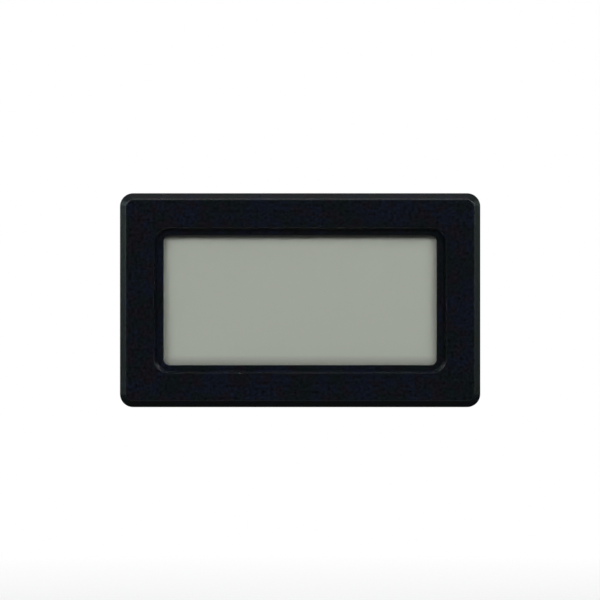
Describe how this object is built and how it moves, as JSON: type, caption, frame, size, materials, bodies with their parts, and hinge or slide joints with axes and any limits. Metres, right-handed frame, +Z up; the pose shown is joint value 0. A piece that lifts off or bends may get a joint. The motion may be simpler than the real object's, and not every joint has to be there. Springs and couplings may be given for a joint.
{
  "type": "digital thermometer",
  "caption": "Small panel-mounted digital thermometer with a blank display in a recessed window, snap arms on its short sides and a sliding battery door at the rear.",
  "frame": {"origin": "centre of the bezel's rear seating plane, where the panel's face touches it", "axes": "+Y out of the rear, into the panel; the display looks along -Y; +X is to the reader's right; +Z is up"},
  "size_m": [0.048, 0.0152, 0.0286],
  "materials": {
    "black_case_plastic": "fine-grained moulded ABS, black with a cool cast",
    "black_cover_plastic": "moulded ABS, black, fine spark texture",
    "black_door_plastic": "moulded ABS, black, smooth satin",
    "clear_window": "clear acrylic sheet",
    "adhesive_tape": "black double-sided tape",
    "display_face": "anti-glare polariser film, grey-green",
    "display_glass": "thin soda-lime glass",
    "reflector_film": "satin reflecting film",
    "zebra_rubber": "striped silicone rubber",
    "holder_plastic": "white moulded plastic",
    "board_laminate": "green solder mask on glass laminate",
    "black_resin": "cured black epoxy",
    "chip_ceramic": "ceramic chips with tinned ends",
    "chip_capacitor": "tan ceramic chips with tinned ends",
    "contact_metal": "nickel-plated spring steel",
    "cell_steel": "nickel-plated steel can",
    "screw_steel": "zinc-plated steel"
  },
  "bodies": {
    "housing": {"front_case": "black_case_plastic", "window_lens": "clear_window", "lens_tape": "adhesive_tape", "lcd_front_polariser": "display_face", "lcd_front_glass": "display_glass", "lcd_rear_glass": "display_glass", "lcd_reflector": "reflector_film", "zebra_strip_top": "zebra_rubber", "zebra_strip_bottom": "zebra_rubber", "lcd_holder": "holder_plastic", "circuit_board": "board_laminate", "chip_blob": "black_resin", "chip_resistors": "chip_ceramic", "chip_capacitors": "chip_capacitor", "battery_contact_minus": "contact_metal", "battery_contact_bridge": "contact_metal", "battery_contact_plus": "contact_metal", "button_cell_left": "cell_steel", "button_cell_right": "cell_steel", "rear_cover": "black_cover_plastic", "case_screws": "screw_steel"},
    "door": {"battery_door": "black_door_plastic"}
  },
  "joints": [
    {"name": "battery_door_slide", "type": "slide", "parent": "housing", "child": "door", "axis": [0, 0, -1], "range_m": [0, 0.013]}
  ]
}
